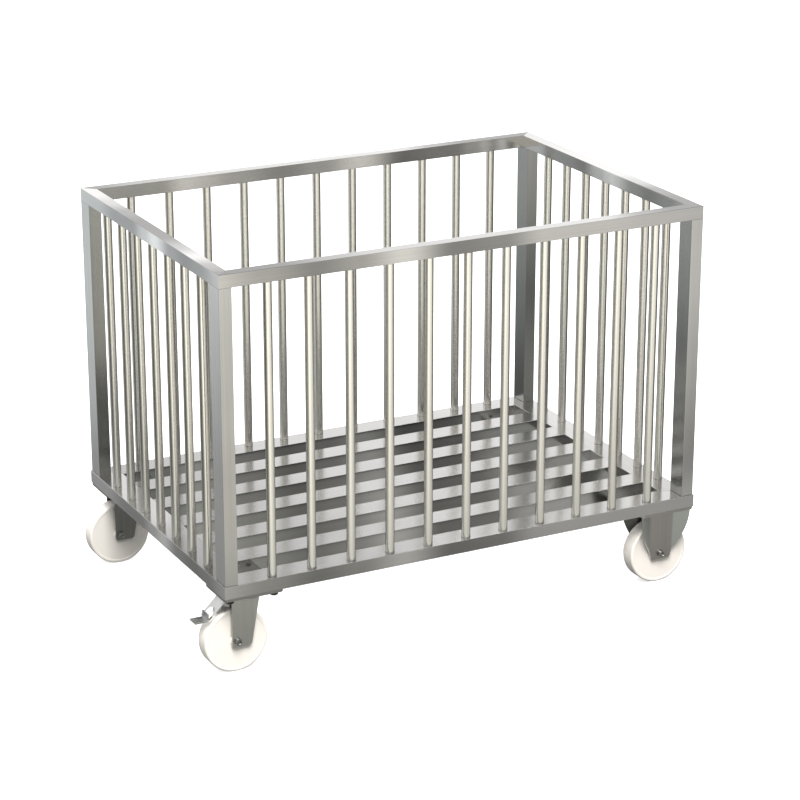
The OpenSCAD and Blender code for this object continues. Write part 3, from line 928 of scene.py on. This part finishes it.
def add_fork(bm, axis_x, low, high):
    """low and high are the CAD fork's corners, and axis_x is the swivel axis."""
    middle = (low.y + high.y) / 2
    top = [
        bm.verts.new((axis_x + x, middle + y, CROWN)) for x, y in
        ((BEHIND, -LEG_OUT), (AHEAD, -LEG_OUT), (AHEAD, LEG_OUT), (BEHIND, LEG_OUT))
    ]
    bm.faces.new(top)
    for first, second in ((top[0], top[1]), (top[2], top[3])):
        edge = next(e for e in first.link_edges if second in e.verts)
        made = bmesh.ops.extrude_edge_only(bm, edges=[edge])["geom"]
        for vert in (v for v in made if isinstance(v, bmesh.types.BMVert)):
            vert.co.x = axis_x + (BEHIND if vert.co.x < axis_x else TOE_AHEAD)
            vert.co.z = low.z
    toes = [v for v in bm.verts if abs(v.co.z - low.z) < 1e-6]
    bmesh.ops.bevel(
        bm, geom=toes, offset=TOE_CORNER, segments=5, profile=0.5, affect="VERTICES", material=-1
    )
    folds = [e for e in bm.edges if len(e.link_faces) == 2 and e.calc_face_angle() > 1]
    round_off(bm, folds, FOLD, 5)
    bmesh.ops.recalc_face_normals(bm, faces=bm.faces[:])
    bmesh.ops.solidify(bm, geom=bm.faces[:], thickness=SHEET_T)


# %% Forks and their race cups
RACE = [
    (0, 171), (36, 171), (38, 172.5), (38, 175), (37, 176), (24, 176), (22.2, 177.5), (22.2, 181),
    (21, 182), (0, 182),
]
race = [(radius * MM, height * MM) for radius, height in RACE]

for side in ("front", "rear"):
    node = f"fork_{side}"
    low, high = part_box(node)
    plate_low, plate_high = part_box(f"swivel_plate_{side}")
    centre = (plate_low + plate_high) / 2
    bm = bmesh.new()
    add_fork(bm, centre.x, low, high)
    round_sharp(bm, SHEET_EDGE)
    add_turned(bm, race, Vector((centre.x, centre.y, 0)), "Z")
    # Painted shade: the rear fork is darker than the front one.
    outer = SHEET if side == "front" else REAR_FORK_PAINTED_SHADE
    # Painted shade: faces looking in towards the swivel axis get the very dark steel.
    finish_piece(bm, f"{side}_fork", outer, "caster_steel", node, inside=(INNER_PAINTED_SHADE, centre))

# %% [markdown]
# ## Fixed brackets
# The fixed casters hang from a bracket with two legs. Each leg has a flat web down to
# the axle and two wings that bend outwards, with curved edges. The outline is half of
# the leg: a spun arc, a short toe and two straight lines. It is mirrored, creased along
# the bends by two cuts, and the wings are then pushed outwards.

# %% Bracket leg
WING_ARC = 180 * MM
WING_CENTRE = Vector((-115 * MM, 0, 190 * MM))
WING_START, WING_STOP = math.radians(-36), math.radians(-2)
WEB_HALF = 30 * MM
WING_RAKE = 22 / 36
WING_BEND = 5 * MM
TOE_FLAT, TOE_OUT, TOE_RISE = 21 * MM, 26 * MM, 4 * MM


def add_bracket_leg(bm, centre, toe, top, face_y, outward):
    """One leg, in the plane y = face_y, with its wings bent towards outward."""
    towards = Vector((math.cos(WING_START), 0, math.sin(WING_START)))
    first = bm.verts.new(WING_CENTRE + towards * WING_ARC)
    turn = WING_STOP - WING_START
    bmesh.ops.spin(bm, geom=[first], cent=WING_CENTRE, axis=(0, -1, 0), angle=turn, steps=12)
    curve = sorted(bm.verts, key=lambda v: v.co.z)
    head = [bm.verts.new((curve[-1].co.x, 0, top)), bm.verts.new((0, 0, top))]
    foot = [
        bm.verts.new((x, 0, z)) for x, z in ((0, toe), (TOE_FLAT, toe), (TOE_OUT, toe + TOE_RISE))
    ]
    bmesh.ops.delete(bm, geom=bm.edges[:], context="EDGES_FACES")
    half = bm.faces.new(foot + curve + head)
    bmesh.ops.mirror(
        bm, geom=[half] + half.edges[:] + half.verts[:], matrix=Matrix.Identity(4),
        merge_dist=1e-5, axis="X",
    )
    for crease in (-WEB_HALF, WEB_HALF):
        bmesh.ops.bisect_plane(
            bm, geom=bm.verts[:] + bm.edges[:] + bm.faces[:],
            plane_co=(crease, 0, 0), plane_no=(1, 0, 0),
        )
    for vert in bm.verts:
        vert.co.y += outward * max(0.0, abs(vert.co.x) - WEB_HALF) * WING_RAKE
    creases = [e for e in running(bm.edges, 2) if abs(abs(e.verts[0].co.x) - WEB_HALF) < 1e-6]
    round_off(bm, [e for e in creases if len(e.link_faces) == 2], WING_BEND, 4)
    bmesh.ops.translate(bm, vec=Vector((centre.x, face_y, 0)), verts=bm.verts)
    bmesh.ops.recalc_face_normals(bm, faces=bm.faces)
    faces_y = sum(f.normal.y * f.calc_area() for f in bm.faces)
    if faces_y * outward < 0:
        bmesh.ops.reverse_faces(bm, faces=bm.faces)
    bmesh.ops.solidify(bm, geom=bm.faces[:], thickness=SHEET_T)
    round_sharp(bm, SHEET_EDGE)


# %% Fixed brackets
for side in ("front", "rear"):
    node = f"fixed_bracket_{side}"
    low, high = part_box(node)
    centre = (low + high) / 2
    under = high.z - PLATE_T
    bm = bmesh.new()
    add_plate(bm, Vector((low.x, low.y, under)), high)
    for outward in (-1, 1):
        leg = bmesh.new()
        face_y = centre.y + outward * LEG_OUT
        add_bracket_leg(leg, centre, low.z, under + CUP_SEAT, face_y, outward)
        take_in(bm, leg)
    # Painted shade: faces looking in towards the wheel get the very dark steel.
    finish_piece(bm, f"{side}_fixed_bracket", BRACKET, "caster_steel", node, inside=(INNER_PAINTED_SHADE, centre))

# %% [markdown]
# ## Wheels
# Each wheel is turned from solid nylon: a thick hub, a flat face just inside a raised
# rim, and a tread with rounded shoulders. A turned part is a profile spun round its
# axle, so the profile is half of the section, mirrored to the other side.

# %% Wheel section
HUB_RADIUS, BORE = 14 * MM, 11 * MM
RIM_IN, RIM_STEP = 8 * MM, 0.8 * MM
SHOULDER = 4 * MM


def half_section(radius, half_width, hub_half):
    """(radius, height) points from the bore, over the hub and the rim, to the tread."""
    shoulder = [
        (radius - SHOULDER * (1 - math.cos(a)), half_width - SHOULDER * (1 - math.sin(a)))
        for a in (math.radians(d) for d in range(90, -1, -15))
    ]
    rim, flat = radius - RIM_IN, half_width - RIM_STEP
    return [
        (BORE, hub_half), (HUB_RADIUS - 1 * MM, hub_half), (HUB_RADIUS, hub_half - 1 * MM),
        (HUB_RADIUS + 0.6 * MM, half_width - 0.4 * MM), (HUB_RADIUS + 2 * MM, flat),
        (rim - 0.3 * MM, flat), (rim, flat + 0.1 * MM),
        (rim + 0.4 * MM, half_width - 0.15 * MM), (rim + 1.0 * MM, half_width),
    ] + shoulder


# %% Wheels
WHEEL_HALF = 20 * MM
CORNERS = ("front_left", "rear_left", "front_right", "rear_right")
for place in CORNERS:
    node = f"wheel_{place}"
    low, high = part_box(node)
    radius = (high.z - low.z) / 2
    section = half_section(radius, WHEEL_HALF, (high.y - low.y) / 2)
    section += [(r, -y) for r, y in reversed(section)]
    bm = bmesh.new()
    add_turned(bm, section, (low + high) / 2, "Y", steps=96, closed=True)
    finish_piece(bm, f"{place}_wheel", NYLON, "wheel_nylon", node)

# %% [markdown]
# ## Axle bolts and nuts
# A round-headed bolt with a socket passes through the legs, and a lock nut closes it at
# the other end. The bolt is one spun profile that starts at the bottom of the socket,
# and the nut is a six-sided prism with a spun collar.


# %% Hexagons
def add_hexagon(bm, centre, flats, start, end, axis):
    """A hexagon prism from start to end along an axis. flats is its size across flats."""
    radius = flats / 2 / math.cos(math.pi / 6)
    made = bmesh.ops.create_cone(
        bm, cap_ends=True, segments=6, depth=end - start, radius1=radius, radius2=radius
    )
    turn = Matrix.Rotation(math.radians(-90), 4, "X") if axis == "Y" else Matrix.Identity(4)
    middle = centre + UP[axis] * (start + end) / 2
    bmesh.ops.transform(bm, matrix=Matrix.Translation(middle) @ turn, verts=made["verts"])


# %% Axles
HEAD_RADIUS, SOCKET_RADIUS, SOCKET_DEPTH = 8 * MM, 4.2 * MM, 4 * MM
SHANK_RADIUS = 6 * MM
NUT_FLATS, NUT_LONG, NUT_EDGE = 18 * MM, 8 * MM, 0.8 * MM
COLLAR = [(7.6, 7.5), (7.6, 9.2), (7, 10), (6, 10), (6, 7.5)]
collar = [(radius * MM, LEG_OUT + height * MM) for radius, height in COLLAR]

for place in CORNERS:
    low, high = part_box(f"axle_bolt_{place}")
    wheel_low, wheel_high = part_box(f"wheel_{place}")
    centre = (wheel_low + wheel_high) / 2
    face, tail = low.y - centre.y, high.y - centre.y
    bolt = [
        (0, face + SOCKET_DEPTH), (SOCKET_RADIUS, face + SOCKET_DEPTH), (4.6 * MM, face + 0.4 * MM),
        (5 * MM, face), (6.9 * MM, face), (7.6 * MM, face + 0.4 * MM), (HEAD_RADIUS, face + 1.4 * MM),
        (HEAD_RADIUS, -LEG_OUT), (SHANK_RADIUS, -LEG_OUT), (SHANK_RADIUS, tail - 1 * MM),
        (5 * MM, tail), (0, tail),
    ]
    bm = bmesh.new()
    add_turned(bm, bolt, centre, "Y", steps=48)
    finish_piece(bm, f"{place}_axle_bolt", AXLE, "axle_steel", f"axle_bolt_{place}")
    bm = bmesh.new()
    add_hexagon(bm, centre, NUT_FLATS, LEG_OUT, LEG_OUT + NUT_LONG, "Y")
    round_sharp(bm, NUT_EDGE)
    add_turned(bm, collar, centre, "Y", steps=40, closed=True)
    finish_piece(bm, f"{place}_axle_nut", AXLE, "axle_steel", f"axle_nut_{place}")

# %% [markdown]
# ## Caster bolts
# Four black hexagon bolts and washers hold each caster. All sixteen are alike, so two
# pieces hold them: the bolts, with a shank up into the tube, and the washers.

# %% Bolts under the plates
SPACING_X, SWIVEL_Y, FIXED_Y = 105 * MM, 80 * MM, 50 * MM
BOLT_RADIUS, BOLT_FLATS, BOLT_EDGE = 5 * MM, 16 * MM, 0.5 * MM
WASHER_IN, WASHER_OUT = 5.5 * MM, 10 * MM
PLATE_NODES = ("swivel_plate_front", "swivel_plate_rear", "fixed_bracket_front", "fixed_bracket_rear")
bolt_low, bolt_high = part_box("caster_bolts")
washer_low, washer_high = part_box("caster_washers")
shank = [
    (0, bolt_high.z), (4.2 * MM, bolt_high.z), (BOLT_RADIUS, bolt_high.z - 0.8 * MM),
    (BOLT_RADIUS, washer_low.z), (0, washer_low.z),
]
ring = [
    (WASHER_IN, washer_low.z), (9.6 * MM, washer_low.z), (WASHER_OUT, washer_low.z + 0.4 * MM),
    (WASHER_OUT, washer_high.z), (WASHER_IN, washer_high.z),
]
bolts, washers = bmesh.new(), bmesh.new()
for node in PLATE_NODES:
    low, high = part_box(node)
    spacing = SWIVEL_Y if node.startswith("swivel") else FIXED_Y
    for x in (-SPACING_X / 2, SPACING_X / 2):
        for y in (-spacing / 2, spacing / 2):
            spot = Vector(((low.x + high.x) / 2 + x, (low.y + high.y) / 2 + y, 0))
            add_hexagon(bolts, spot, BOLT_FLATS, bolt_low.z, washer_low.z, "Z")
            add_turned(bolts, shank, spot, "Z", steps=24)
            add_turned(washers, ring, spot, "Z", steps=32, closed=True)
head_top = washer_low.z + 1e-5
round_sharp(bolts, BOLT_EDGE, 2, 55, only=lambda e: max(v.co.z for v in e.verts) < head_top)
finish_piece(bolts, "plate_bolts", BLACK, "black_fastener", "caster_bolts")
finish_piece(washers, "plate_washers", BLACK, "black_fastener", "caster_washers")

# %% [markdown]
# ## Brake pedal
# The pedal is one bright pressing: a strip that slopes down from the fork, with an
# arched opening, and a small foot pad on a riser between its two arms. The strip is
# drawn flat, with the opening left out of the outline, then thickened and turned to its
# slope. Ears under it carry the pivot, and the shoe between them presses on the wheel.

# %% Pedal strip
STRIP_W, STRIP_T, STRIP_EDGE = 44 * MM, 3 * MM, 0.5 * MM
ARCH, ARCH_START = 15 * MM, 16 * MM
STRIP_TOP = Vector((-56 * MM, 0, 172 * MM))
STRIP_END = Vector((-96 * MM, 0, 132 * MM))


def add_strip(bm, origin):
    """The sloping strip with its arched opening, open at the lower end."""
    length, half = (STRIP_TOP - STRIP_END).length, STRIP_W / 2
    first = bm.verts.new((ARCH_START, ARCH, 0))
    middle = (ARCH_START, 0, 0)
    bmesh.ops.spin(bm, geom=[first], cent=middle, axis=(0, 0, -1), angle=math.pi, steps=14)
    arch = sorted(bm.verts, key=lambda v: -v.co.y)
    bmesh.ops.delete(bm, geom=bm.edges[:], context="EDGES_FACES")
    outline = [bm.verts.new((0, ARCH, 0))] + arch + [
        bm.verts.new((x, y, 0)) for x, y in
        ((0, -ARCH), (0, -half), (length, -half), (length, half), (0, half))
    ]
    bm.faces.new(outline)
    bmesh.ops.solidify(bm, geom=bm.faces[:], thickness=STRIP_T)
    level = sum(v.co.z for v in bm.verts) / len(bm.verts)
    bmesh.ops.translate(bm, vec=Vector((0, 0, -level)), verts=bm.verts)
    round_sharp(bm, STRIP_EDGE)
    slope = (STRIP_TOP - STRIP_END).normalized()
    turn = Matrix.Rotation(-math.atan2(slope.z, slope.x), 4, "Y")
    bmesh.ops.transform(bm, matrix=Matrix.Translation(origin + STRIP_END) @ turn, verts=bm.verts)


# %% Pad, ears and shoe
PAD = [(-125, 131.5), (-125, 128.5), (-92, 128.5), (-92, 146.5), (-95, 146.5), (-95, 131.5)]
EAR = [
    (-63, 165), (-56, 172), (-47, 166), (-34, 163), (-29.8, 161.2), (-28, 157), (-29.8, 152.8),
    (-34, 151), (-42, 154), (-56, 161),
]
SHOE = [(-60, 147.6), (-60, 166.5), (-66, 160.5), (-71, 150), (-71, 143.3)]


def add_profile(bm, origin, points, near, far):
    """A side outline in X and Z pushed across, from near to far along Y. All are in mm."""
    verts = [bm.verts.new(origin + Vector((x, near, z)) * MM) for x, z in points]
    made = bmesh.ops.extrude_face_region(bm, geom=[bm.faces.new(verts)])["geom"]
    moved = [v for v in made if isinstance(v, bmesh.types.BMVert)]
    bmesh.ops.translate(bm, vec=Vector((0, far - near, 0)) * MM, verts=moved)


plate_low, plate_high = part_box("swivel_plate_front")
swivel = Vector(((plate_low.x + plate_high.x) / 2, (plate_low.y + plate_high.y) / 2, 0))
pedal, rest = bmesh.new(), bmesh.new()
add_strip(pedal, swivel)
for points, near, far in ((PAD, -15.5, 15.5), (EAR, -20, -17), (EAR, 17, 20), (SHOE, -10, 10)):
    add_profile(rest, swivel, points, near, far)
bmesh.ops.recalc_face_normals(rest, faces=rest.faces)
round_sharp(rest, STRIP_EDGE)
take_in(pedal, rest)
finish_piece(pedal, "foot_pedal", PEDAL, "pedal_steel", "brake_pedal")

# %% [markdown]
# ## Parts that keep their CAD shape
# Pins, balls, sleeves, bushes, gussets and the leaf spring already have their true
# shape, so they only need a finish. Each CAD object has one material slot to fill.

# %% Finish the CAD parts
CAD_FINISH = {
    "corner_gussets": TUBE["z"], "king_pin": AXLE, "ball_ring": AXLE, "axle_sleeve": AXLE,
    "wheel_bush": BUSH, "brake_pin": AXLE, "brake_spring": PEDAL,
}
for node, obj in sorted(frame["nodes"].items()):
    for start, material in CAD_FINISH.items():
        if node.startswith(start):
            obj.data.materials.clear()
            obj.data.materials.append(material)
kept_nodes = [n for n, o in frame["nodes"].items() if not o.hide_render]
print("CAD nodes still showing:", len(kept_nodes))
